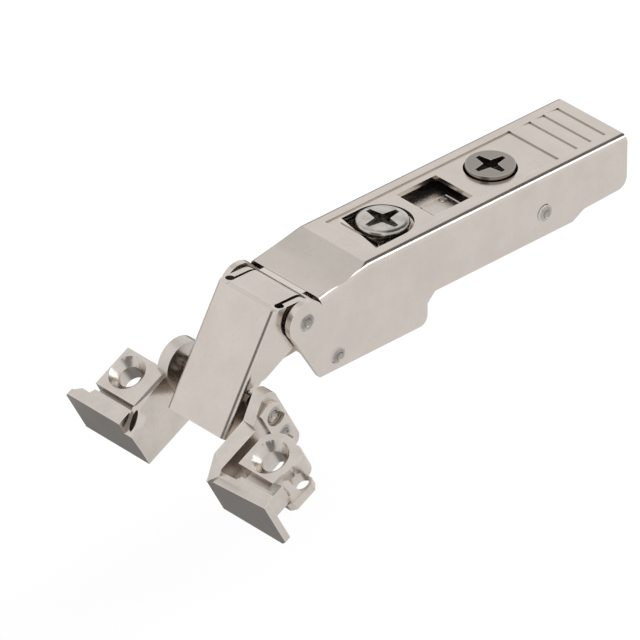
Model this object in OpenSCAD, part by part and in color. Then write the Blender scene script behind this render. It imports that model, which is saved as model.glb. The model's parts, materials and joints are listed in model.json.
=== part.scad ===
// Concealed furniture hinge for slim metal-framed doors.
// The stamped arm clips on a plate inside the cabinet, and two crossed links carry a pair of cast
// brackets that screw to the door frame. The arm runs along X, the pins along Y, and the arm's top faces +Z.
// The origin is on the clip seat: the plane where the clip channel's lower edges meet the plate.

/* [Arm] */
// Outside width of the arm
arm_w = 18; // [17.5:0.5:20]
// Sheet thickness of the arm
arm_t = 1.2; // [1:0.1:1.3]
// Length from the knuckle pin to the arm's rear end
arm_l = 76.8; // [75:0.2:80]
// Radius of the folded top edges
fold_r = 1.4; // [1.3:0.1:2]
// Height of the arm's top above the knuckle pin
roof_z = 5.4; // [5.2:0.1:5.8]

/* [Links] */
// Outside width of the outer link
link_w = 14.5; // [14:0.1:14.6]
// Sheet thickness of the outer link
link_t = 1.2; // [1:0.1:1.3]
// Radius of the two pins in the arm
arm_pin_r = 1.5; // [1.2:0.1:1.6]
// Radius of the two pins in the brackets
bracket_pin_r = 1.25; // [1:0.05:1.3]

/* [Brackets] */
// Tilt of the screw faces above the arm's line, with the door open
bracket_tilt = 28; // [26:0.5:30]
// Distance between the two screw holes
hole_gap = 36.4; // [35:0.2:38]
// Radius of the screw holes
hole_r = 2.1; // [1.8:0.1:2.3]
// Width over both brackets
brackets_w = 51.6; // [50:0.2:54]
// Depth of the front lips
lip_h = 10.6; // [9:0.2:12]

/* [Hidden] */
$fn = 48;
eps = 0.01;
nickel = [0.77, 0.75, 0.72];
zinc = [0.70, 0.69, 0.66];
steel = [0.80, 0.79, 0.77];

// Knuckle pin, as seen from the seat origin: every place below is counted from this pin
knuckle = [-46, 5.6];
// Pin centres [x, z] from the knuckle pin
arm_link_at = [7.3, -9.9];
lower_pin_at = [-8.26, -17.2];
upper_pin_at = [-10.82, -12.45];
rear_pin_at = [56.7, -2.0];
lever_pin_at = [68.6, -1.6];
hook_pin_at = [23.4, -3.6];
// Top edge of the brackets' lips, from the knuckle pin
lip_at = [-25, -19.7];
inner_w = arm_w - 2 * arm_t;
pin_play = 0.05;

// Arm stations along X
nose_x = 3.3;
bend_x = 14.8;
nose_z = 3.2;
side_screw_x = 26.2;
window_x = 38.7;
depth_screw_x = 52.1;
panel_depth = 0.3;
nose_fall = (roof_z - nose_z) / (bend_x - nose_x);
dip_x = 9.5;
dip_z = 3.95;
step_gap = 3.4;
step_l = 2.6;
step_w = 12.2;
step_depth = 0.25;
depth_head_r = 4.5;
depth_head_top = 5.95;
side_head_r = 4.9;
side_head_top = 5.8;

// Clip channel and adjusting plate
channel_w = 14;
channel_t = 1.2;
channel_top = 2.6;
channel_low = -5.6;
channel_front = 19.4;
channel_rear = 72.4;
plate_w = 10.6;
plate_top = 1.1;
plate_t = 1.5;
slide_travel = 2;
hook_pin_r = 1.3;
lever_pin_r = 1.2;
// Slots in the channel: for the screws, the rear pin and the window
screw_slot_r = 3.4;
rear_slot_r = 1.8;
channel_window = [8.8, 6.2];
hook_mouth = [27.6, -5.6];
hook_mouth_r = 2.2;
catch_mouth = [64.2, -5.6];
catch_mouth_r = 1.7;
tail_slot = [9, 9.2];
// Shanks of the two screws
depth_shank_r = 2.2;
side_shank_r = 2.1;
cam_r = 2.9;
cam_offset = 0.5;
collar_r = 3;

// Bracket, in its own frame: s runs back from the lip, h is the height above the screw face
ear_in = 9.5;
ear_out = 12;
ear_step = 11.6;
brow_h = 1.4;
lip_t = 1.3;
block_top = 0;
block_low = -4.6;
block_front = 4.3;
block_rear = 12.9;
hole_s = 8.9;
sink_r = 3.5;
ear_hub = [15.6, -0.1];
ear_hub_r = 4.5;

// Moves a shape drawn from the knuckle pin to the seat frame
module from_knuckle() { translate([knuckle[0], 0, knuckle[1]]) children(); }

// Extrudes an XZ outline from y0 to y1
module across(y0, y1) { translate([0, y1, 0]) rotate([90, 0, 0]) linear_extrude(y1 - y0) children(); }

// The same outline on both sides of the middle plane, from y0 to y1
module both_sides(y0, y1) {
    across(y0, y1) children();
    across(-y1, -y0) children();
}

// A round bar along Y at [x, z]
module bar(at, r, y0, y1) { translate([at[0], y1, at[1]]) rotate([90, 0, 0]) cylinder(r = r, h = y1 - y0); }

// Low round head with a flat base
module dome(r, h) {
    ball = (r * r + h * h) / (2 * h);
    rim = asin(r / ball);
    steps = 4;
    rotate_extrude()
        polygon(concat([[0, 0]], [for (i = [0:steps]) ball * [sin(rim * (1 - i / steps)), cos(rim * (1 - i / steps))]
            - [0, ball - h]]));
}

// Riveted pin with a round head at each end
module riveted_pin(at, r, half, head_r, head_h) {
    bar(at, r, -half, half);
    for (side = [-1, 1]) translate([at[0], side * half, at[1]]) rotate([-side * 90, 0, 0]) dome(head_r, head_h);
}

// A thin strip of sheet between two XZ points, with round ends
module strip(a, b, t) {
    len = norm(b - a);
    translate(a) rotate(atan2(b[1] - a[1], b[0] - a[0])) {
        translate([0, -t / 2]) square([len, t]);
        circle(r = t / 2, $fn = 24);
        translate([len, 0]) circle(r = t / 2, $fn = 24);
    }
}

// Cross recess with four tapering wings round a deeper centre
module cross_recess(r, depth, wing) {
    tip = wing * 0.36;
    root = wing * 0.85;
    for (a = [0, 90]) rotate(a) translate([0, 0, -depth]) linear_extrude(depth + 1)
        polygon([[-r, -tip], [0, -root], [r, -tip], [r, tip], [0, root], [-r, tip]]);
    translate([0, 0, -depth - 0.5]) cylinder(r1 = wing * 0.5, r2 = wing * 1.1, h = depth + 0.5 + eps);
}

// Section of a bar with its top at z = 0 and round upper edges
module bar_section(width, depth, r) {
    half = width / 2;
    translate([-half, -depth]) square([width, depth - r]);
    if (r > 0) {
        translate([-half + r, -depth]) square([width - 2 * r, depth]);
        for (side = [-1, 1]) translate([side * (half - r), -r]) circle(r = r);
    }
}

// Outline of an arm side: deep at the front under the links, shallow behind
module arm_side_outline() {
    deep = -12.7;
    shallow = -6.8;
    step_x = 28.6;
    r = 1.8;
    lap = 2.2;
    polygon([[3.1, deep], [step_x - r, deep], [step_x, deep + r], [step_x, shallow - r], [step_x + r, shallow],
        [63.6, shallow], [66.4, -5.3], [arm_l - 2, -5.0], [arm_l, -3.2], [arm_l, roof_z - lap],
        [bend_x, roof_z - lap], [nose_x + 0.4, nose_z - lap], [0, 3.9], [-3.9, 0.5], [-3.0, -2.6]]);
    circle(r = 4);
    translate([step_x - r, deep + r]) circle(r = r);
    translate([arm_l - 2.2, -2.8]) circle(r = 2.2);
}

// A bar with a flat top that slopes down to the nose, dropped below the roof by a distance
module bent_bar(width, r, drop, over) {
    slope = atan2(roof_z - nose_z, bend_x - nose_x);
    nose_l = (bend_x - nose_x) / cos(slope);
    depth = 6;
    intersection() {
        translate([0, 0, roof_z - drop]) rotate([90, 0, 90])
            linear_extrude(arm_l + over) bar_section(width, depth + over, r);
        translate([bend_x, 0, roof_z]) rotate([0, -slope, 0]) translate([-nose_l - over, 0, -drop])
            rotate([90, 0, 90]) linear_extrude(arm_l + 2 * bend_x) bar_section(width, 5 * depth, r);
    }
}

module arm_shell() color(nickel) from_knuckle() {
    difference() {
        union() {
            difference() {
                bent_bar(arm_w, fold_r, 0, 0);
                bent_bar(inner_w, 0, arm_t, 1);
            }
            both_sides(inner_w / 2, arm_w / 2) arm_side_outline();
        }
        // Dip of the roof between the bend and the nose
        across(-arm_w, arm_w) polygon([[bend_x - 0.3, roof_z - 0.3 * nose_fall], [dip_x, dip_z], [nose_x, nose_z],
            [nose_x - 1, nose_z], [nose_x - 1, roof_z + 1], [bend_x - 0.3, roof_z + 1]]);
        // Sunk panel round the two screws and the window
        translate([18.5, -6.35, roof_z - panel_depth]) cube([62.7 - 18.5, 12.7, 1]);
        // Finger steps pressed in the rear end
        for (i = [0:2])
            translate([67.5 + i * step_gap, -step_w / 2, roof_z - step_depth]) rotate([0, 5.5, 0])
                translate([-step_l, 0, 0]) cube([step_l, step_w, 1]);
        // Opening of the side screw, square at the front and round behind
        translate([20.6, -5.6, 0]) cube([5.6, 11.2, 9]);
        translate([side_screw_x, 0, 0]) cylinder(r = 5.6, h = 9);
        // Square window
        translate([window_x - 4.75, -4.75, 0]) cube([9.5, 9.5, 9]);
        translate([depth_screw_x, 0, 0]) cylinder(r = depth_head_r + 0.35, h = 9);
        // Pin holes
        for (at = [[0, 0], arm_link_at, rear_pin_at])
            bar(at, arm_pin_r + (at == rear_pin_at ? pin_play : 0), -arm_w, arm_w);
    }
}

module channel_section() {
    half = channel_w / 2;
    difference() {
        translate([-half, channel_low]) square([channel_w, channel_top - channel_low]);
        translate([-half + channel_t, channel_low - 1])
            square([channel_w - 2 * channel_t, channel_top - channel_low + 1 - channel_t]);
    }
}

module clip_channel() color(steel) from_knuckle() {
    difference() {
        translate([channel_front, 0, 0]) rotate([90, 0, 90])
            linear_extrude(channel_rear - channel_front) channel_section();
        // Slots for the two adjusting screws
        for (x = [side_screw_x, depth_screw_x]) {
            for (side = [-1, 1]) translate([x + side * slide_travel, 0, 0]) cylinder(r = screw_slot_r, h = 5);
            translate([x - slide_travel, -screw_slot_r, 0]) cube([2 * slide_travel, 2 * screw_slot_r, 5]);
        }
        // Window under the arm's window, with a tongue left at one side
        translate([window_x, 0, 0]) translate(-channel_window[0] / 2 * [1, 1, 0]) cube(concat(channel_window, 5));
        // Slots that let the rear pin follow the depth adjustment
        for (side = [-1, 1]) bar([rear_pin_at[0] + side * slide_travel, rear_pin_at[1]], rear_slot_r, -channel_w, channel_w);
        translate([rear_pin_at[0] - slide_travel, -channel_w, rear_pin_at[1] - rear_slot_r])
            cube([2 * slide_travel, 2 * channel_w, 2 * rear_slot_r]);
        // Front hook mouths
        bar(hook_mouth, hook_mouth_r, -channel_w, channel_w);
        // Rear catch mouths and open back for the lever
        bar(catch_mouth, catch_mouth_r, -channel_w, channel_w);
        translate([channel_rear - tail_slot[0], -tail_slot[1] / 2, 0]) cube([tail_slot[0] + 1, tail_slot[1], 5]);
        bar(hook_pin_at, hook_pin_r, -channel_w, channel_w);
        bar(lever_pin_at, lever_pin_r, -channel_w, channel_w);
    }
}

module front_hook_pin() color(steel) from_knuckle() bar(hook_pin_at, hook_pin_r, -channel_w / 2, channel_w / 2);

module lever_pin() color(steel) from_knuckle() bar(lever_pin_at, lever_pin_r, -channel_w / 2, channel_w / 2);

// Catch lever: hook under the plate in front, finger pad behind
module release_lever() color(steel) from_knuckle() across(-4.2, 4.2) difference() {
    union() {
        translate(lever_pin_at) circle(r = 2.3);
        polygon([[67.0, -0.2], [66.4, -3.4], [65.6, -5.6], [67.4, -5.9], [69.0, -3.6], [75.2, -2.9], [75.6, -1.9],
            [75.2, -1.2], [70.6, -0.9]]);
    }
    translate(lever_pin_at) circle(r = lever_pin_r + pin_play);
}

module adjust_plate() color(steel) from_knuckle() difference() {
    union() {
        translate([20.6, -plate_w / 2, plate_top - plate_t]) cube([40.4, plate_w, plate_t]);
        both_sides(plate_w / 2 - 1.4, plate_w / 2)
            polygon([[52.6, plate_top], [52.6, -2.4], [54.6, -4.4], [58.8, -4.4], [61, -2.4], [61, plate_top]]);
        translate([side_screw_x, 0, plate_top - plate_t - 1.6]) cylinder(r = 4, h = 2);
    }
    translate([side_screw_x, 0, -6]) cylinder(r = 2.5, h = 12);
    translate([depth_screw_x, 0, -6]) cylinder(r = depth_shank_r + pin_play, h = 12);
    translate([window_x - 4, -4, -6]) cube([8, 5.6, 12]);
    translate([window_x + 1.6, 3.2, -6]) cylinder(r = 1, h = 12);
    bar(rear_pin_at, arm_pin_r, -9, 9);
}

module rear_pin() color(steel) from_knuckle() riveted_pin(rear_pin_at, arm_pin_r, arm_w / 2 + 0.05, 2.1, 0.75);

// Depth screw: a turning head in the arm, a shank in the plate and a spiral cam under the head
module depth_screw() color(steel) from_knuckle() translate([depth_screw_x, 0, 0]) difference() {
    union() {
        translate([0, 0, 2.9]) cylinder(r = depth_head_r, h = depth_head_top - 2.9);
        translate([0, 0, plate_top - plate_t - 1]) cylinder(r = depth_shank_r, h = 5);
        translate([cam_offset, 0, plate_top + 0.2]) cylinder(r = cam_r, h = 1.7);
        translate([0, 0, plate_top - plate_t - 1.6]) cylinder(r = collar_r, h = 1.1);
    }
    translate([0, 0, depth_head_top]) cross_recess(3.3, 1.9, 1.2);
}

module side_screw() color(steel) from_knuckle() translate([side_screw_x, 0, 0]) difference() {
    union() {
        translate([0, 0, 3.9]) cylinder(r = side_head_r, h = side_head_top - 0.5 - 3.9);
        translate([0, 0, side_head_top - 0.5 - eps]) cylinder(r1 = side_head_r, r2 = side_head_r - 0.5, h = 0.5 + eps);
        translate([0, 0, -1.1]) cylinder(r = side_shank_r, h = 5.1);
    }
    translate([0, 0, side_head_top]) cross_recess(3.6, 1.9, 1.3);
}

// Leaf spring that presses on the inner link's heel
module closing_spring() color(steel) from_knuckle() across(-3, 3) {
    t = 0.7;
    translate([0, -t / 2]) {
        strip([16.9, roof_z - arm_t - 0.1], [14.4, roof_z - arm_t - 0.35], t);
        strip([14.4, roof_z - arm_t - 0.35], [12.6, 1.6], t);
        strip([12.6, 1.6], [12.2, -5.6], t);
    }
}

module knuckle_pin() color(steel) from_knuckle() riveted_pin([0, 0], arm_pin_r, arm_w / 2, 1.75, 0.45);

module arm_link_pin() color(steel) from_knuckle() riveted_pin(arm_link_at, arm_pin_r, arm_w / 2, 2.05, 0.75);

module knuckle_washer(side) color(steel) from_knuckle() {
    y = side * (link_w / 2 + inner_w / 2) / 2;
    half = 0.18;
    difference() {
        bar([0, 0], 3, y - half, y + half);
        bar([0, 0], arm_pin_r + pin_play, y - 1, y + 1);
    }
}

module knuckle_washer_left() knuckle_washer(1);

module knuckle_washer_right() knuckle_washer(-1);

// Outer link: cover plate, folded neck round the knuckle pin, and two flanges with a notch for the upper pin
link_bend = [-6.2, 3.7];
link_foot = [-18.1, -16.9];
link_fold_r = 1.1;

module link_cover() {
    dir = (link_foot - link_bend) / norm(link_foot - link_bend);
    outward = [dir[1], -dir[0]];
    polygon([link_bend + outward * 0.05, link_foot + outward * 0.05, link_foot - outward * link_t,
        link_bend - outward * link_t - dir * 0.4]);
}

// Space that the outer link's blank fills, with round folds along both sides of the cover
module link_envelope() {
    lean = atan2(link_bend[1] - link_foot[1], link_bend[0] - link_foot[0]);
    translate([link_foot[0], 0, link_foot[1]]) rotate([0, -lean, 0]) translate([-10, 0, 0])
        rotate([90, 0, 90]) linear_extrude(50) bar_section(link_w, 30, link_fold_r);
}

module link_flange() {
    sweep_r = norm(upper_pin_at - lower_pin_at);
    room = bracket_pin_r + 0.75;
    start = atan2(upper_pin_at[1] - lower_pin_at[1], upper_pin_at[0] - lower_pin_at[0]);
    difference() {
        union() {
            circle(r = 3.5);
            polygon([link_bend, [0, 3.5], [3.4, -0.8], [2.4, -2.6], [-2.2, -5.6], [-8.1, -8.9], [-13.2, -9.6]]);
            polygon([[-13.4, -9.2], [-7.4, -14.6], [-5.4, -18.4], [-8.4, -20.1], link_foot]);
            translate(lower_pin_at) circle(r = 3);
        }
        circle(r = arm_pin_r + pin_play);
        translate(lower_pin_at) circle(r = bracket_pin_r + pin_play);
        // Room for the upper pin's swing about the lower pin
        translate(upper_pin_at) circle(r = room);
        translate(lower_pin_at) difference() {
            intersection() {
                circle(r = sweep_r + room);
                polygon([[0, 0], 20 * [cos(start), sin(start)], 20 * [cos(start - 60), sin(start - 60)],
                    20 * [cos(start - 110), sin(start - 110)]]);
            }
            circle(r = sweep_r - room);
        }
    }
}

module outer_link() color(nickel) from_knuckle() intersection() {
    half = link_w / 2;
    neck = 5.4;
    union() {
        both_sides(half - link_t, half + eps) link_flange();
        across(-half - eps, half + eps) link_cover();
        across(-neck, neck) difference() {
            union() {
                polygon([link_bend, [0, 3.6], [0, 2.3], link_bend + [0.8, -link_t]]);
                intersection() {
                    circle(r = 3.6);
                    translate([0, -0.1]) square([4, 4]);
                }
            }
            circle(r = 2.3);
        }
        // Short shoulders that tie the neck to the flanges at the bend
        across(-half - eps, half + eps)
            polygon([link_bend, link_bend + [2.2, 0], link_bend + [2.2, -link_t], link_bend + [0.6, -1.4]]);
    }
    link_envelope();
}

// Inner link: arched channel with a slotted eye at the bracket end
module inner_link_outline() {
    slot_ends = [upper_pin_at + [-0.05, -0.72], upper_pin_at + [-0.05, 1.06]];
    slot_r = bracket_pin_r + 0.28;
    eye_r = 2.1;
    difference() {
        union() {
            translate(arm_link_at) circle(r = 3.1);
            for (at = slot_ends) translate(at) circle(r = eye_r);
            translate(slot_ends[0] - [eye_r, 0]) square([2 * eye_r, slot_ends[1][1] - slot_ends[0][1]]);
            polygon([[7.4, -6.8], [3.0, -5.2], [-1.4, -5.2], [-5.6, -6.9], [-10.4, -9.4], [-9.4, -14.6], [-6.6, -11.4],
                [-2.8, -9.0], [1.6, -8.6], [5.2, -12.2]]);
        }
        translate(arm_link_at) circle(r = arm_pin_r + pin_play);
        for (at = slot_ends) translate(at) circle(r = slot_r);
        translate(slot_ends[0] - [slot_r, 0]) square([2 * slot_r, slot_ends[1][1] - slot_ends[0][1]]);
    }
}

module inner_link() color(nickel) from_knuckle() {
    both_sides(2.6, 4.6) inner_link_outline();
    across(-2.7, 2.7) polygon([[3.4, -5.3], [-1.4, -5.2], [-5.6, -6.9], [-6.0, -8.0], [-1.6, -6.4], [3.0, -6.4]]);
}

module lower_bracket_pin() color(steel) from_knuckle() riveted_pin(lower_pin_at, bracket_pin_r, ear_out + 0.02, 1.8, 0.5);

module upper_bracket_pin() color(steel) from_knuckle() riveted_pin(upper_pin_at, bracket_pin_r, ear_out + 0.02, 1.8, 0.5);

module spacer(y0, y1) color(steel) from_knuckle() difference() {
    bar(lower_pin_at, 2.3, y0, y1);
    bar(lower_pin_at, bracket_pin_r + pin_play, y0 - 1, y1 + 1);
}

module spacer_left() spacer(link_w / 2 + 0.15, ear_in - 0.1);

module spacer_right() spacer(-ear_in + 0.1, -link_w / 2 - 0.15);

// Puts a bracket drawn in its own frame in place
module bracket_place() from_knuckle() translate([lip_at[0], 0, lip_at[1]]) rotate([0, -bracket_tilt, 0]) children();

// A knuckle point as seen in the bracket's frame
function in_bracket(p) = let (d = p - lip_at)
    [d[0] * cos(bracket_tilt) + d[1] * sin(bracket_tilt), -d[0] * sin(bracket_tilt) + d[1] * cos(bracket_tilt)];

// Pin wall up to the hub: the front edge rises from the lip to the brow
module ear_outline(front_h, brow, rear) {
    r = 2;
    polygon([[0, -lip_h], [rear - r, -lip_h], [rear, -lip_h + r], [rear, brow_h], [ear_step, brow_h], brow, [0, front_h]]);
    translate([rear - r, -lip_h + r]) circle(r = r);
}

// Takes the outer half of the pin wall's top down to the screw face
module ear_chamfer() translate([-1, ear_in, brow_h]) rotate([-28.8, 0, 0]) cube([ear_step + 1, 2.9, 4]);

// Front lip from y0 outwards, with its lower outer corner cut off
module lip(y0, top) difference() {
    out = brackets_w / 2;
    translate([0, y0, -lip_h]) cube([lip_t, out - y0, lip_h + top]);
    translate([-1, out - 1.4, -lip_h - eps]) rotate([-45, 0, 0]) translate([0, 0, -3]) cube([4, 3, 3]);
    // Rounded upper outer corner
    translate([-1, out, 0]) rotate([0, 90, 0]) rotate(45) cube([1.2, 1.2, 8], center = true);
}

// Ledge behind the lip: full height, a low step and the floor of the groove before the block
module ledge(y0, front, y1) {
    end = brackets_w / 2 - 0.9 - y1;
    wide = front - 0.5;
    translate([0, y0, -1.6]) cube([front, y1 - y0, 1.6]);
    translate([0, y1, -1.6]) linear_extrude(1.6)
        polygon([[0, -1], [wide, -1], [wide, end - 1.5], [wide - 1.2, end], [0, end]]);
    translate([0, y0, -1.8]) cube([front + 0.6, y1 - y0, 1.5]);
    translate([0, y0, -2.8]) cube([block_front + 0.5, y1 - y0, 1.2]);
}

// Countersunk screw hole through a block
module screw_hole() translate([hole_s, hole_gap / 2, 0]) {
    translate([0, 0, -20]) cylinder(r = hole_r, h = 30);
    translate([0, 0, block_top - (sink_r - hole_r)]) cylinder(r1 = hole_r, r2 = sink_r, h = sink_r - hole_r);
    translate([0, 0, block_top - eps]) cylinder(r = sink_r, h = 3);
}

module bracket_pin_holes() for (at = [lower_pin_at, upper_pin_at]) bar(in_bracket(at), bracket_pin_r, 0, 30);

module left_bracket() color(zinc) bracket_place() difference() {
    lip_notch = -2.9;
    union() {
        across(ear_in, ear_out) {
            ear_outline(lip_notch, [4.5, 0.4], 19);
            translate(ear_hub) circle(r = ear_hub_r);
        }
        lip(ear_in, lip_notch);
        lip(ear_out, 0);
        ledge(ear_out - 0.2, 2.8, 21.4);
        translate([block_front, 11, block_low]) cube([block_rear - block_front, 21.9 - 11, block_top - block_low]);
    }
    ear_chamfer();
    // Oval pocket in the sloped front of the pin wall
    translate([2.3, 10.8, -1.2]) rotate([0, -36, 0]) scale([2, 0.6, 1]) cylinder(r = 1, h = 4, center = true, $fn = 32);
    // Upper half of the inner wall leans outwards
    translate([-2, ear_in, -7]) rotate([-6, 0, 0]) translate([0, -3, 0]) cube([13.4, 3, 12]);
    screw_hole();
    bracket_pin_holes();
}

// Extrudes an outline drawn in Y and height along s, up to s1
module along(s1) { rotate([90, 0, 90]) linear_extrude(s1) children(); }

module right_bracket() color(zinc) bracket_place() mirror([0, 1, 0]) difference() {
    out = brackets_w / 2;
    lip_front = -2.2;
    brow = [3.9, 1.27];
    rear = 18.3;
    crest = [16.4, 2.6];
    crest_r = 1.9;
    slot_w = 1.9;
    block_out = 22.6;
    front = 5;
    lobe = [10.7, 21.1];
    tab_top = -3.7;
    tab_t = 1.8;
    tab_out = 26;
    hollow_r = 2.9;
    // The lip's top falls towards the pin wall
    top_in = -0.9;
    top_out = 1.1;
    union() {
        across(ear_in, ear_out) {
            ear_outline(lip_front, brow, rear);
            polygon([[ear_step, brow_h], [crest[0] - 1.12, crest[1] + 1.54], [rear, crest[1]], [rear, -2], [ear_step, -2]]);
            translate(crest) circle(r = crest_r);
        }
        // Thicker outer half of the hub, with room for the two pin heads
        across(ear_out - 1, ear_out + 0.9) difference() {
            polygon([[12.6, 1.2], [13.4, 2.2], [15.7, 3.2], [16.8, 2.8], [17.5, 1.6], [17.5, -6.4], [16.2, -8.2],
                [13.4, -8.4], [12.6, -7.6]]);
            for (at = [lower_pin_at, upper_pin_at]) translate(in_bracket(at)) circle(r = 2.05);
        }
        // Lip, ledge, low step and floor of the groove
        along(lip_t) polygon([[ear_in, -lip_h], [out - 1.4, -lip_h], [out, -lip_h + 1.4], [out, top_out], [ear_out, top_in],
            [ear_in, lip_front]]);
        along(2.8) polygon([[ear_out - 1, -3], [out - 0.6, -3], [out - 0.6, top_out - 0.1], [ear_out, top_in], [ear_out - 1, top_in - 0.5]]);
        along(3.4) polygon([[ear_out - 1, -3], [out - 1, -3], [out - 1, top_out - 0.5], [ear_out, top_in - 0.4], [ear_out - 1, -1.5]]);
        translate([0, ear_in, block_low]) cube([front + 1, out - 1.5 - ear_in, 2.6]);
        // Closed outer end of the groove
        along(front + 0.2) polygon([[block_out, block_low + 1], [out - 0.7, block_low + 1], [out - 0.7, 0.8], [block_out, 0]]);
        // Block round the screw hole, with a lobe at the rear outer corner
        translate([0, 0, block_low]) linear_extrude(block_top - block_low) difference() {
            union() {
                translate([front, ear_out]) square([4, block_out - ear_out]);
                translate([hole_s, hole_gap / 2]) circle(r = 4.9);
                translate(lobe) circle(r = 2.5);
            }
            square([20, ear_out + slot_w]);
            square([front, out]);
        }
        // Floor of the slot beside the pin wall
        translate([2, ear_out - 0.5, block_low]) cube([9.6, 4, 0.8]);
        // Side tab and the hollow slope down to it
        translate([0, 0, tab_top - tab_t]) linear_extrude(tab_t)
            polygon([[4.2, 20.5], [4.2, tab_out - 0.9], [5.1, tab_out], [9.7, tab_out], [10.7, tab_out - 1], [10.7, 20.5]]);
        translate([front, 0, 0]) along(2.6) polygon(concat([[20.8, tab_top - 1], [20.8, 0]],
            [for (a = [180:15:270]) [block_out + hollow_r * (1 + cos(a)), tab_top + hollow_r * (1 + sin(a))]],
            [[block_out + hollow_r, tab_top - 1]]));
    }
    ear_chamfer();
    // Slot beside the pin wall and its pocket at the front
    translate([2.4, ear_out, block_low + 0.8]) cube([11, slot_w, 9]);
    translate([2.4, ear_out, block_low + 0.8]) cube([front - 2.4, 3.8, 9]);
    screw_hole();
    // Open hole in the tab
    translate([9, 23.9, -20]) cylinder(r = 1.5, h = 17.6);
    bracket_pin_holes();
}

clip_channel();
front_hook_pin();
release_lever();
lever_pin();
adjust_plate();
rear_pin();
depth_screw();
arm_shell();
side_screw();
closing_spring();
knuckle_pin();
arm_link_pin();
knuckle_washer_left();
knuckle_washer_right();
outer_link();
inner_link();
lower_bracket_pin();
upper_bracket_pin();
spacer_left();
spacer_right();
left_bracket();
right_bracket();
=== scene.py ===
import json
import math

import bpy
from mathutils import Matrix, Vector

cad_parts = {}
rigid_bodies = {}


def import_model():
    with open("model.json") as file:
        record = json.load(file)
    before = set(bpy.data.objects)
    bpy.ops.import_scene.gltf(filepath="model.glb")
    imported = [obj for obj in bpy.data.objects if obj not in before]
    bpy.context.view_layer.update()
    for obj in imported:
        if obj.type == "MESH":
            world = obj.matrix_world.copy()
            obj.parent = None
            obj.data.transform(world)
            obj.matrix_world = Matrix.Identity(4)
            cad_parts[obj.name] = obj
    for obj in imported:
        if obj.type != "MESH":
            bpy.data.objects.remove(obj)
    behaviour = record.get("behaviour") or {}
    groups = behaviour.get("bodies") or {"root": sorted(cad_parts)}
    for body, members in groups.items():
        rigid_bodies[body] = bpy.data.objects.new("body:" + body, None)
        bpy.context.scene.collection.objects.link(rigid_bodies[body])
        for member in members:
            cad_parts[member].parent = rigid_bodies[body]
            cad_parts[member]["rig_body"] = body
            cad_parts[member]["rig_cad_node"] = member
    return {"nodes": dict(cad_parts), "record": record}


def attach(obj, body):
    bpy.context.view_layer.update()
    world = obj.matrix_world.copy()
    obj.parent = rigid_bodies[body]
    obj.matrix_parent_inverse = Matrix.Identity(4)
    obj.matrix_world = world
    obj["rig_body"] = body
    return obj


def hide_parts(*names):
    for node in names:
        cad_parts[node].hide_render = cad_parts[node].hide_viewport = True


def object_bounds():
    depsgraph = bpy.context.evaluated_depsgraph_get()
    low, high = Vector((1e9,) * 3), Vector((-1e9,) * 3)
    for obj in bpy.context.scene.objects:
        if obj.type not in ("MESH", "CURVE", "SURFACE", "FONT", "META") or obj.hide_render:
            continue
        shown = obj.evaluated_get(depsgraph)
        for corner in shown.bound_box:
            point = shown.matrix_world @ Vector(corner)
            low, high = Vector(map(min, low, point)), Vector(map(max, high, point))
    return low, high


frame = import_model()
cadLow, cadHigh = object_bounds()
bpy.ops.object.select_all(action="DESELECT")
print("frame loaded with", len(frame["nodes"]), "nodes")

# Sizes and places in the pieces' dictionaries are millimetres, places from the middle of the knuckle pin
mm = 0.001
knuckle = Vector((-46 * mm, 0, 5.6 * mm))


class Wire:
    # A shader socket that can be used in sums: each operator adds its own Math node
    def __init__(self, maker, socket):
        self.maker = maker
        self.socket = socket

    def maths(self, operation, *values):
        return self.maker.node("ShaderNodeMath", {"operation": operation}, dict(enumerate(values)))

    def __add__(self, other):
        return self.maths("ADD", self, other)

    def __radd__(self, other):
        return self.maths("ADD", other, self)

    def __sub__(self, other):
        return self.maths("SUBTRACT", self, other)

    def __rsub__(self, other):
        return self.maths("SUBTRACT", other, self)

    def __mul__(self, other):
        return self.maths("MULTIPLY", self, other)

    def __rmul__(self, other):
        return self.maths("MULTIPLY", other, self)


class NodeMaker:
    # Adds nodes to one tree: settings first, then the values or wires of the sockets
    def __init__(self, tree):
        self.tree = tree
        tree.nodes.clear()

    def node(self, kind, settings=None, sockets=None, output=0):
        made = self.tree.nodes.new(kind)
        for name, value in (settings or {}).items():
            if name == "stops":
                for element, (place, colour) in zip(made.color_ramp.elements, value):
                    element.position = place
                    element.color = (*colour, 1)
            else:
                setattr(made, name, value)
        for name, value in (sockets or {}).items():
            self.plug(value, made.inputs[name])
        return Wire(self, made.outputs[output]) if made.outputs else None

    def plug(self, value, socket):
        if isinstance(value, Wire):
            self.tree.links.new(value.socket, socket)
        elif isinstance(value, tuple) and len(socket.default_value) == len(value) + 1:
            socket.default_value = (*value, 1)
        else:
            socket.default_value = value

    def blend(self, amount, first, second):
        # A Mix node has its colours in sockets 6 and 7, and its mixed colour in output 2
        return self.node("ShaderNodeMix", {"data_type": "RGBA"}, {0: amount, 6: first, 7: second}, output=2)

    def fade(self, value, start, end):
        # 0 up to the start, 1 from the end on, with a soft way between
        return self.node(
            "ShaderNodeMapRange",
            {"interpolation_type": "SMOOTHSTEP", "clamp": True},
            {"Value": value, "From Min": start, "From Max": end, "To Min": 0.0, "To Max": 1.0},
        )


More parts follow.
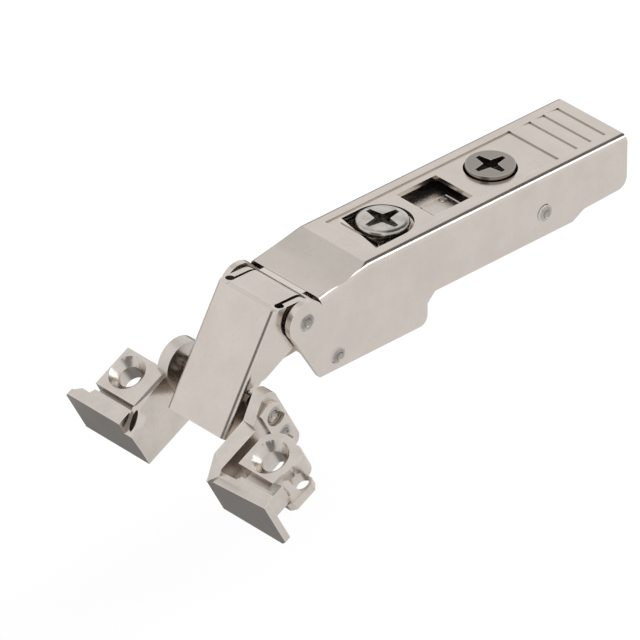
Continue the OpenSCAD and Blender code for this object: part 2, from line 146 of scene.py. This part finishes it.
def metal(name, look):
    # Plated metal: grain, blotches in the plating, small pits, painted shade in the hollows and worn
    # corners
    material = bpy.data.materials.new(name)
    material.use_nodes = True
    make = NodeMaker(material.node_tree)
    place = make.node("ShaderNodeTexCoord", output="Object")

    def noise(kind, at):
        sockets = {"Vector": at, "Scale": look[kind + "Scale"], "Detail": look[kind + "Detail"]}
        return make.node("ShaderNodeTexNoise", {}, sockets)

    def openness(kind, settings):
        # 1 in the open, and less where a face or a corner is near
        settings = {"samples": look[kind + "Samples"], **settings}
        return make.node("ShaderNodeAmbientOcclusion", settings, {"Distance": look[kind + "Reach"]}, "AO")

    along = make.node("ShaderNodeMapping", {}, {"Vector": place, "Scale": look["grainStretch"]})
    grain = noise("grain", along)
    cloud = noise("cloud", place)
    fine = noise("fine", place)
    stops = list(zip(look["cloudStops"], (look["shade"], look["tint"])))
    tone = make.node("ShaderNodeValToRGB", {"stops": stops}, {"Fac": cloud})
    pits = make.fade(fine, *look["speckRange"]) * look["speckDepth"]
    pitted = make.blend(pits, tone, look["speck"])
    x = make.node("ShaderNodeSeparateXYZ", {}, {"Vector": place}, output="X")
    duller = make.blend(make.fade(x, *look["rearRange"]) * look["rearDull"], pitted, look["speck"])
    hollow = openness("hollow", {"only_local": look["ownShade"]})
    corner = openness("wear", {"only_local": True, "inside": True})
    # Painted shade: the base colour turns dark where the hollows are deep, and the roughness rises there
    # too
    paintedShade = (1 - make.fade(hollow, *look["hollowRange"])) * look["paintedShadeDepth"]
    wear = (1 - make.fade(corner, *look["wearRange"])) * look["wearDepth"]
    colour = make.blend(paintedShade, make.blend(wear, duller, look["wornTint"]), look["paintedShade"])
    middle = 0.5  # the noises swing about this value
    rough = (
        look["roughness"]
        + (grain - middle) * look["grainRough"]
        + (cloud - middle) * look["cloudRough"]
        + paintedShade * look["paintedShadeRough"]
        - wear * look["wearPolish"]
    )
    height = grain * look["grainHeight"] + fine * look["fineHeight"]
    bump = make.node(
        "ShaderNodeBump",
        {},
        {"Height": height, "Strength": look["bumpStrength"], "Distance": look["bumpReach"]},
    )
    shader = make.node(
        "ShaderNodeBsdfPrincipled",
        {},
        {"Base Color": colour, "Metallic": 1.0, "Roughness": rough, "Normal": bump},
    )
    make.node("ShaderNodeOutputMaterial", {}, {"Surface": shader})
    return material


# Nickel plate on pressed sheet. The other looks say only where they differ. Reaches are metres
sheetLook = {
    "tint": (0.705, 0.645, 0.588),
    "shade": (0.660, 0.602, 0.548),
    "cloudStops": (0.32, 0.62),
    "speck": (0.56, 0.52, 0.48),
    "speckRange": (0.60, 0.68),
    "speckDepth": 0.35,
    "roughness": 0.20,
    "grainStretch": (30, 400, 400),
    "grainScale": 6.0,
    "grainDetail": 4.0,
    "grainRough": 0.08,
    "grainHeight": 0.5,
    "cloudScale": 170.0,
    "cloudDetail": 3.0,
    "cloudRough": 0.10,
    "fineScale": 2200.0,
    "fineDetail": 6.0,
    "fineHeight": 0.5,
    "bumpStrength": 0.04,
    "bumpReach": 0.0002,
    "rearRange": (0.0, 0.002),  # from this x on, a look may be duller
    "rearDull": 0.0,
    "ownShade": True,  # hollows come from the piece itself, not from its neighbours
    "hollowReach": 0.003,
    "hollowSamples": 8,
    "hollowRange": (0.18, 0.72),
    # Painted shade in the hollows: its dark colour, how strongly it darkens, and the extra roughness there
    "paintedShade": (0.13, 0.11, 0.09),
    "paintedShadeDepth": 0.85,
    "paintedShadeRough": 0.25,
    "wearReach": 0.0004,
    "wearSamples": 6,
    "wearRange": (0.40, 0.80),
    "wearDepth": 0.5,
    "wearPolish": 0.08,
    "wornTint": (0.80, 0.755, 0.71),
}
castLook = {
    **sheetLook,
    "tint": (0.690, 0.634, 0.580),
    "shade": (0.620, 0.568, 0.518),
    "roughness": 0.26,
    "grainStretch": (120, 120, 120),
    "cloudScale": 260.0,
    "fineScale": 1600.0,
    "bumpStrength": 0.05,
    # A paler painted shade in the brackets' hollows, over a shorter reach
    "hollowReach": 0.0024,
    "paintedShade": (0.22, 0.195, 0.165),
    "paintedShadeDepth": 0.60,
}
screwLook = {
    **sheetLook,
    "tint": (0.62, 0.58, 0.54),
    "shade": (0.44, 0.41, 0.38),
    "speck": (0.32, 0.29, 0.26),
    "roughness": 0.17,
    "cloudScale": 420.0,
    "bumpStrength": 0.05,
    "rearDull": 0.95,  # the depth screw is the rear one and the darker one
    # Painted shade in the screws' recesses, such as the cross in each head
    "hollowReach": 0.0026,
    "hollowRange": (0.30, 0.85),
    "paintedShade": (0.20, 0.18, 0.16),
    "paintedShadeDepth": 0.60,
}
rivetLook = {
    **sheetLook,
    "tint": (0.47, 0.44, 0.405),
    "shade": (0.26, 0.24, 0.22),
    "roughness": 0.10,
    "cloudScale": 500.0,
    # The painted shade on the rivets also comes from the parts next to them
    "ownShade": False,
    "hollowReach": 0.0012,
    "hollowRange": (0.40, 0.95),
}
channelLook = {
    **sheetLook,
    "tint": (0.74, 0.69, 0.64),
    "shade": (0.64, 0.60, 0.56),
    "roughness": 0.27,
    # The channel lies under the arm, so its painted shade comes from the parts round it too and is nearly
    # black
    "ownShade": False,
    "hollowReach": 0.0035,
    "hollowRange": (0.03, 0.24),
    "paintedShade": (0.035, 0.030, 0.025),
    "paintedShadeDepth": 0.97,
}

materials = {
    "arm_nickel": metal("satinNickelArm", sheetLook),
    "link_nickel": metal("satinNickelLink", sheetLook),
    "cast_zinc": metal("platedZinc", castLook),
    "screw_steel": metal("screwSteel", screwLook),
    "channel_steel": metal("shadedChannel", channelLook),
    "steel": metal("rivetSteel", rivetLook),
}
print("materials made:", len(materials))

slotOf = {row["node"]: row["material_slot"] for row in frame["record"]["subparts"]}
bodyOf = {node: body for body, nodes in frame["record"]["behaviour"]["bodies"].items() for node in nodes}
cadCopy = {"mergeGap": 0.012, "flatAngle": 0.6}
easedEdge = {"segments": 3, "angle": 28, "smooth": 40, "flatWeight": 90}  # unless a piece says otherwise
lyingAcross = (math.pi / 2, 0, 0)


def makeActive(piece):
    piece.select_set(True)
    bpy.context.view_layer.objects.active = piece


def takeCopy(node):
    # A copy of a CAD node, merged from its loose triangles and ready for shaping
    bpy.ops.object.select_all(action="DESELECT")
    makeActive(frame["nodes"][node])
    bpy.ops.object.duplicate()
    piece = bpy.context.active_object
    piece.name = node + "_dressed"
    piece.parent = None
    for key in ("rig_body", "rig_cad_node"):  # without these marks it no longer counts as the CAD node
        del piece[key]
    bpy.ops.object.mode_set(mode="EDIT")
    bpy.ops.mesh.select_all(action="SELECT")
    bpy.ops.mesh.remove_doubles(threshold=cadCopy["mergeGap"] * mm)
    bpy.ops.mesh.dissolve_limited(angle_limit=math.radians(cadCopy["flatAngle"]))
    bpy.ops.object.mode_set(mode="OBJECT")
    return piece


def addModifier(piece, kind, settings):
    bpy.context.view_layer.objects.active = piece
    modifier = piece.modifiers.new(kind.lower(), kind)
    for name, value in settings.items():
        setattr(modifier, name, value)
    bpy.ops.object.modifier_apply(modifier=modifier.name)


def easeEdges(piece, form):
    # Small rounded corners, then smooth faces that keep the flats flat
    form = {**easedEdge, **form}
    if form["edge"]:
        addModifier(
            piece,
            "BEVEL",
            {
                "width": form["edge"] * mm,
                "segments": form["segments"],
                "limit_method": "ANGLE",
                "angle_limit": math.radians(form["angle"]),
                "use_clamp_overlap": True,
                "miter_outer": "MITER_ARC",
            },
        )
    makeActive(piece)
    bpy.ops.object.shade_smooth_by_angle(angle=math.radians(form["smooth"]))
    shading = {"mode": "FACE_AREA", "weight": form["flatWeight"], "keep_sharp": True}
    addModifier(piece, "WEIGHTED_NORMAL", shading)


def handOver(piece, node):
    # The dressed piece takes the place of its CAD node
    piece.data.materials.clear()
    piece.data.materials.append(materials[slotOf[node]])
    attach(piece, bodyOf[node])
    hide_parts(node)


def dress(node, form):
    piece = takeCopy(node)
    easeEdges(piece, form)
    handOver(piece, node)


def fromKnuckle(x, y, z):
    return knuckle + Vector((x, y, z)) * mm


def cutAway(piece, cutter):
    addModifier(piece, "BOOLEAN", {"operation": "DIFFERENCE", "object": cutter, "solver": "EXACT"})
    bpy.data.objects.remove(cutter)


def cutRound(piece, place, radius, length, sides, turn=(0, 0, 0)):
    # Cuts a round hole, upright unless it is turned
    bpy.ops.mesh.primitive_cylinder_add(
        vertices=sides, radius=radius * mm, depth=length * mm, location=place, rotation=turn
    )
    cutAway(piece, bpy.context.active_object)


def addBlock(low, high):
    # A block between two corners, with its place in its mesh
    low, high = fromKnuckle(*low), fromKnuckle(*high)
    centre = (low + high) / 2
    bpy.ops.object.select_all(action="DESELECT")
    bpy.ops.mesh.primitive_cube_add(size=1, location=centre)
    block = bpy.context.active_object
    bpy.ops.object.mode_set(mode="EDIT")
    bpy.ops.transform.resize(value=tuple(high - low), center_override=tuple(centre))
    bpy.ops.object.mode_set(mode="OBJECT")
    bpy.ops.object.transform_apply(location=True, rotation=True, scale=True)
    return block


def joinTo(piece, extra):
    bpy.ops.object.select_all(action="DESELECT")
    extra.select_set(True)
    makeActive(piece)
    bpy.ops.object.join()


def openForPicking(piece, kind):
    # Nothing of the mesh is picked when this leaves it, in object mode
    makeActive(piece)
    bpy.ops.object.mode_set(mode="EDIT")
    bpy.ops.mesh.select_mode(type=kind)
    bpy.ops.mesh.select_all(action="DESELECT")
    bpy.ops.object.mode_set(mode="OBJECT")


def roundCorners(piece, chosen, radius, segments):
    # Bevels the edges whose two points both pass the test
    bpy.ops.object.select_all(action="DESELECT")
    openForPicking(piece, "EDGE")
    for edge in piece.data.edges:
        edge.select = all(chosen(piece.data.vertices[index].co) for index in edge.vertices)
    bpy.ops.object.mode_set(mode="EDIT")
    bpy.ops.mesh.bevel(offset=radius * mm, segments=segments)
    bpy.ops.object.mode_set(mode="OBJECT")


def pickPoints(piece, chosen):
    # Selects the points that pass the test and stays in edit mode
    openForPicking(piece, "VERT")
    for point in piece.data.vertices:
        point.select = chosen(point.co)
    bpy.ops.object.mode_set(mode="EDIT")


def resizePoints(piece, chosen, scale, centre):
    pickPoints(piece, chosen)
    bpy.ops.transform.resize(value=scale, center_override=centre)
    bpy.ops.object.mode_set(mode="OBJECT")


def between(value, limits):
    return limits[0] * mm < value < limits[1] * mm


armShell = {
    "edge": 0.09,
    "angle": 30,
    "openingFront": 20.6,  # the side screw's opening: its front edge, and half of its width
    "openingHalf": 5.6,
    "openingCorner": 1.1,
    "cornerSteps": 5,
    "slack": 0.02,  # how far off a point may be and still count
    "lipLow": (2.05, -5.3, 3.05),  # the lip's lowest and highest corners
    "lipHigh": (3.5, 5.3, 3.13),
}


def dressArmShell(form):
    # The side screw's opening has round front corners, and a thin lip runs under the nose
    piece = takeCopy("arm_shell")
    front = fromKnuckle(form["openingFront"], 0, 0).x
    half = form["openingHalf"] * mm
    slack = form["slack"] * mm

    def atCorner(point):
        return abs(point.x - front) < slack and abs(abs(point.y) - half) < slack

    roundCorners(piece, atCorner, form["openingCorner"], form["cornerSteps"])
    easeEdges(piece, form)
    joinTo(piece, addBlock(form["lipLow"], form["lipHigh"]))
    handOver(piece, "arm_shell")


dressArmShell(armShell)
print("arm dressed")

sideScrew = {
    "at": 26.2,
    "topHeight": (5.77, 5.83),  # heights and radii between which the head's flat circle lies
    "topRim": (4.3, 4.5),
    "topShrink": 0.88,
    "shoulderHeight": (5.27, 5.33),  # and its shoulder
    "shoulderRim": (4.7, 5.1),
    "shoulderDrop": 0.25,
    "edge": 0.10,
}
depthScrew = {
    "at": 52.6,
    "camHeight": (1.25, 3.05),
    "camRim": (2.5, 3.2),
    "camShrink": 0.985,
    "edge": 0.12,
    "angle": 32,
}


def onRing(centre, height, rim):
    # A test for points between two heights and two radii round an upright axis
    def test(point):
        return between(point.z - centre.z, height) and between((point.xy - centre.xy).length, rim)

    return test


def dressSideScrew(form):
    # The head's chamfer is wide, so the flat circle shrinks and the shoulder drops
    piece = takeCopy("side_screw")
    centre = fromKnuckle(form["at"], 0, 0)
    top = onRing(centre, form["topHeight"], form["topRim"])
    resizePoints(piece, top, (form["topShrink"], form["topShrink"], 1), (centre.x, 0, 0))
    pickPoints(piece, onRing(centre, form["shoulderHeight"], form["shoulderRim"]))
    bpy.ops.transform.translate(value=(0, 0, -form["shoulderDrop"] * mm))
    bpy.ops.object.mode_set(mode="OBJECT")
    easeEdges(piece, form)
    handOver(piece, "side_screw")


def dressDepthScrew(form):
    # The cam under the head keeps a hair of play in the channel's slot
    piece = takeCopy("depth_screw")
    centre = fromKnuckle(form["at"], 0, 0)
    cam = onRing(centre, form["camHeight"], form["camRim"])
    resizePoints(piece, cam, (form["camShrink"], form["camShrink"], 1), (centre.x, 0, 0))
    easeEdges(piece, form)
    handOver(piece, "depth_screw")


dressSideScrew(sideScrew)
dressDepthScrew(depthScrew)
print("screws dressed")

castBracket = {"edge": 0.24, "angle": 26}
for node in ("left_bracket", "right_bracket"):
    dress(node, castBracket)
print("brackets dressed")

innerLink = {"edge": 0.15}
dress("inner_link", innerLink)

outerLink = {
    "edge": 0.15,
    "notchAt": (-3.9, 6.2, 4),  # the round end of one slit, and the other lies opposite
    "notchRadius": 0.85,
    "notchLength": 5,
    "notchSides": 32,
    "bendLines": [(-4.95, 3.68), (-5.55, 3.69)],  # x and the height of the sheet there
    "bendDepth": 0.045,
    "bendTool": 0.3,  # the radius of the rod that presses them in
    "bendLength": 10.6,
    "bendSides": 48,
}


def dressOuterLink(form):
    # The slits beside the neck end in round holes, drilled before the edges are eased
    piece = takeCopy("outer_link")
    for side in (-1, 1):
        x, y, z = form["notchAt"]
        place = fromKnuckle(x, side * y, z)
        cutRound(piece, place, form["notchRadius"], form["notchLength"], form["notchSides"])
    easeEdges(piece, form)
    # A faint line is pressed in across the neck on each side of its bend
    for x, z in form["bendLines"]:
        place = fromKnuckle(x, 0, z + form["bendTool"] - form["bendDepth"])
        cutRound(piece, place, form["bendTool"], form["bendLength"], form["bendSides"], lyingAcross)
    handOver(piece, "outer_link")


dressOuterLink(outerLink)
print("links dressed")

clipParts = {"edge": 0.10}
windowTongue = {
    "low": (37.0, -4.6, 1.5),  # its lowest and highest corners
    "high": (43.3, 2.4, 2.45),
    "corner": 1.3,
    "cornerSteps": 6,
    "slack": 0.01,
    "holeAt": (41.6, 1.0, 2),
    "holeRadius": 0.75,
    "holeLength": 3,
    "holeSides": 32,
}


def addTongue(channel, form):
    # The tongue that is left in the channel's window, with a round corner and a small hole
    tongue = addBlock(form["low"], form["high"])
    front = fromKnuckle(*form["low"]).x

    def atCorner(point):
        return abs(point.x - front) < form["slack"] * mm and point.y > 0

    roundCorners(tongue, atCorner, form["corner"], form["cornerSteps"])
    place = fromKnuckle(*form["holeAt"])
    cutRound(tongue, place, form["holeRadius"], form["holeLength"], form["holeSides"])
    joinTo(channel, tongue)


def dressClipChannel(form):
    piece = takeCopy("clip_channel")
    addTongue(piece, windowTongue)
    easeEdges(piece, form)
    handOver(piece, "clip_channel")


dressClipChannel(clipParts)
for node in ("adjust_plate", "release_lever"):
    dress(node, clipParts)
print("clip parts dressed")

rivets = {
    "edge": 0,
    "smooth": 50,
    "dimple": 0.95,  # the dimple's radius
    "dimpleDeep": 0.60,
    "punchSides": 32,
    "punchRings": 24,
    "slimHeads": {"rear_pin": 0.80, "arm_link_pin": 0.82},
    "headFrom": 8.98,  # how far from the middle a slim head starts
}
rivetedPins = ("rear_pin", "knuckle_pin", "arm_link_pin", "lower_bracket_pin", "upper_bracket_pin")


def dressRivet(node, form):
    # A riveted pin: each head keeps the small dimple of the setting tool
    piece = takeCopy(node)
    points = [point.co.copy() for point in piece.data.vertices]
    centre = sum(points, Vector()) / len(points)
    slim = form["slimHeads"].get(node)

    def inHead(point):
        return abs(point.y) > form["headFrom"] * mm

    if slim:
        resizePoints(piece, inHead, (slim, 1, slim), (centre.x, 0, centre.z))
    # The punch is a ball that is as wide as the dimple where it meets the head's face
    punchRadius = (form["dimple"] ** 2 + form["dimpleDeep"] ** 2) / (2 * form["dimpleDeep"]) * mm
    for side in (-1, 1):
        end = max(side * point.y for point in points)
        reach = end - form["dimpleDeep"] * mm + punchRadius
        bpy.ops.mesh.primitive_uv_sphere_add(
            segments=form["punchSides"],
            ring_count=form["punchRings"],
            radius=punchRadius,
            location=(centre.x, side * reach, centre.z),
            rotation=lyingAcross,
        )
        cutAway(piece, bpy.context.active_object)
    easeEdges(piece, form)
    handOver(piece, node)


for node in rivetedPins:
    dressRivet(node, rivets)

# Every CAD node gets the finish of its slot, so those that stay, such as the washers, have it too
for node, solid in frame["nodes"].items():
    solid.data.materials.clear()
    solid.data.materials.append(materials[slotOf[node]])

# The photograph's view: the turn and elevation in degrees, the place it is aimed at in metres
view = {
    "turn": 43.0,
    "elevation": 32.5,
    "pixelsPerMetre": 5780.0,
    "pictureWidth": 640.0,
    "lens": 600.0,
    "aim": (-0.03455, 0.0, -0.00314),
    "clipShares": (0.1, 10),
}


def addCamera():
    turn, lift = math.radians(view["turn"]), math.radians(view["elevation"])
    back = Vector((-math.sin(turn) * math.cos(lift), -math.cos(turn) * math.cos(lift), math.sin(lift)))
    lensData = bpy.data.cameras.new("camera")
    lensData.lens = view["lens"]
    distance = lensData.lens / lensData.sensor_width * view["pictureWidth"] / view["pixelsPerMetre"]
    lensData.clip_start, lensData.clip_end = (distance * share for share in view["clipShares"])
    camera = bpy.data.objects.new("camera", lensData)
    bpy.context.scene.collection.objects.link(camera)
    camera.location = Vector(view["aim"]) + back * distance
    camera.rotation_euler = back.to_track_quat("Z", "Y").to_euler()
    bpy.context.scene.camera = camera


addCamera()
print("camera set")

white = (1.0, 1.0, 1.0)
# The floor and the lamp are in metres
floorLook = {
    "drop": 0.040,  # how far it lies below the hinge
    "size": 3.0,
    "colour": (0.92, 0.92, 0.92),
    "seenShare": 0.60,  # how much of what the camera sees of it is glow
    "seenGlow": 1.21,
    "mirrorBright": 0.86,
    "mirrorDark": 0.25,
    "cards": [((-0.22, -0.03), (-0.030, 0.072)), ((0.04, 1.4), (0.11, 1.4))],  # x and y ranges
    "cardSoft": 0.012,
}


def addFloor():
    # The camera sees a pale floor, and the plating mirrors it with two dark cards laid on it
    bpy.ops.mesh.primitive_plane_add(size=floorLook["size"], location=(0, 0, cadLow.z - floorLook["drop"]))
    floor = bpy.context.active_object
    floor.name = "floor"
    material = bpy.data.materials.new("paleFloor")
    material.use_nodes = True
    make = NodeMaker(material.node_tree)
    place = make.node("ShaderNodeTexCoord", output="Object")
    ways = [make.node("ShaderNodeSeparateXYZ", {}, {"Vector": place}, output=axis) for axis in ("X", "Y")]
    soft = floorLook["cardSoft"]
    lit = 1
    for ranges in floorLook["cards"]:
        card = 1
        for way, (start, end) in zip(ways, ranges):
            past = make.fade(way, end - soft, end + soft)
            card = make.fade(way, start - soft, start + soft) * (1 - past) * card
        lit = (1 - card) * lit
    mirror = floorLook["mirrorDark"] + lit * (floorLook["mirrorBright"] - floorLook["mirrorDark"])
    matt = make.node("ShaderNodeBsdfDiffuse", {}, {"Color": floorLook["colour"]})
    glow = make.node("ShaderNodeEmission", {}, {"Color": white, "Strength": floorLook["seenGlow"]})
    mirrorGlow = make.node("ShaderNodeEmission", {}, {"Color": white, "Strength": mirror})
    seen = make.node("ShaderNodeLightPath", output="Is Camera Ray")
    mirrored = make.node("ShaderNodeLightPath", output="Is Glossy Ray")
    forCamera = make.node("ShaderNodeMixShader", {}, {0: seen * floorLook["seenShare"], 1: matt, 2: glow})
    forAll = make.node("ShaderNodeMixShader", {}, {0: mirrored, 1: forCamera, 2: mirrorGlow})
    # Seen from below, the floor is clear
    below = make.node("ShaderNodeNewGeometry", output="Backfacing")
    clear = make.node("ShaderNodeBsdfTransparent")
    oneSided = make.node("ShaderNodeMixShader", {}, {0: below, 1: forAll, 2: clear})
    make.node("ShaderNodeOutputMaterial", {}, {"Surface": oneSided})
    floor.data.materials.append(material)


# The plating mirrors some dark patches of the studio. Each has its direction, the cosines where its
# rim starts and ends, and the share of the light that it leaves
studio = {
    "strength": 0.90,
    "patches": {
        "gap": {"towards": (0.585, 0.15, 0.797), "rim": (0.89, 0.975), "leaves": 0.14},
        "steep": {"towards": (0.208, 0.617, 0.758), "rim": (0.95, 0.995), "leaves": 0.80},
        "left": {"towards": (-0.90, -0.33, 0.28), "rim": (0.88, 0.96), "leaves": 0.22},
        "far": {"towards": (0.1, 0.95, -0.15), "rim": (0.77, 0.88), "leaves": 0.22},
    },
}


def addWorld():
    world = bpy.data.worlds.new("studio")
    bpy.context.scene.world = world
    world.use_nodes = True
    make = NodeMaker(world.node_tree)
    direction = make.node("ShaderNodeTexCoord", output="Generated")
    level = studio["strength"]
    for patch in studio["patches"].values():
        unit = tuple(Vector(patch["towards"]).normalized())
        facing = make.node(
            "ShaderNodeVectorMath", {"operation": "DOT_PRODUCT"}, {0: direction, 1: unit}, output="Value"
        )
        level = (1 - make.fade(facing, *patch["rim"]) * (1 - patch["leaves"])) * level
    # The camera itself sees plain white
    seen = make.node("ShaderNodeLightPath", output="Is Camera Ray")
    strength = seen + (1 - seen) * level
    light = make.node("ShaderNodeBackground", {}, {"Color": white, "Strength": strength})
    make.node("ShaderNodeOutputWorld", {}, {"Surface": light})


softbox = {
    "towards": (0.39, -0.40, 0.83),  # where it hangs, seen from the frame's origin
    "along": (-0.374, -0.06, 0.15),  # the way that its long side points
    "distance": 0.8,
    "size": (0.55, 0.21),
    "watts": 0.80,
}


def addSoftbox():
    # A long strip of light whose reflection runs along the arm's folded edge
    data = bpy.data.lights.new("softbox", "AREA")
    data.shape = "RECTANGLE"
    data.size, data.size_y = softbox["size"]
    data.energy = softbox["watts"]
    lamp = bpy.data.objects.new("softbox", data)
    bpy.context.scene.collection.objects.link(lamp)
    back = Vector(softbox["towards"]).normalized()
    short = back.cross(Vector(softbox["along"])).normalized()
    lamp.location = back * softbox["distance"]
    lamp.rotation_euler = Matrix((short.cross(back), short, back)).transposed().to_euler()


addFloor()
addWorld()
addSoftbox()
bpy.context.scene.view_settings.view_transform = "Standard"
print("studio set")
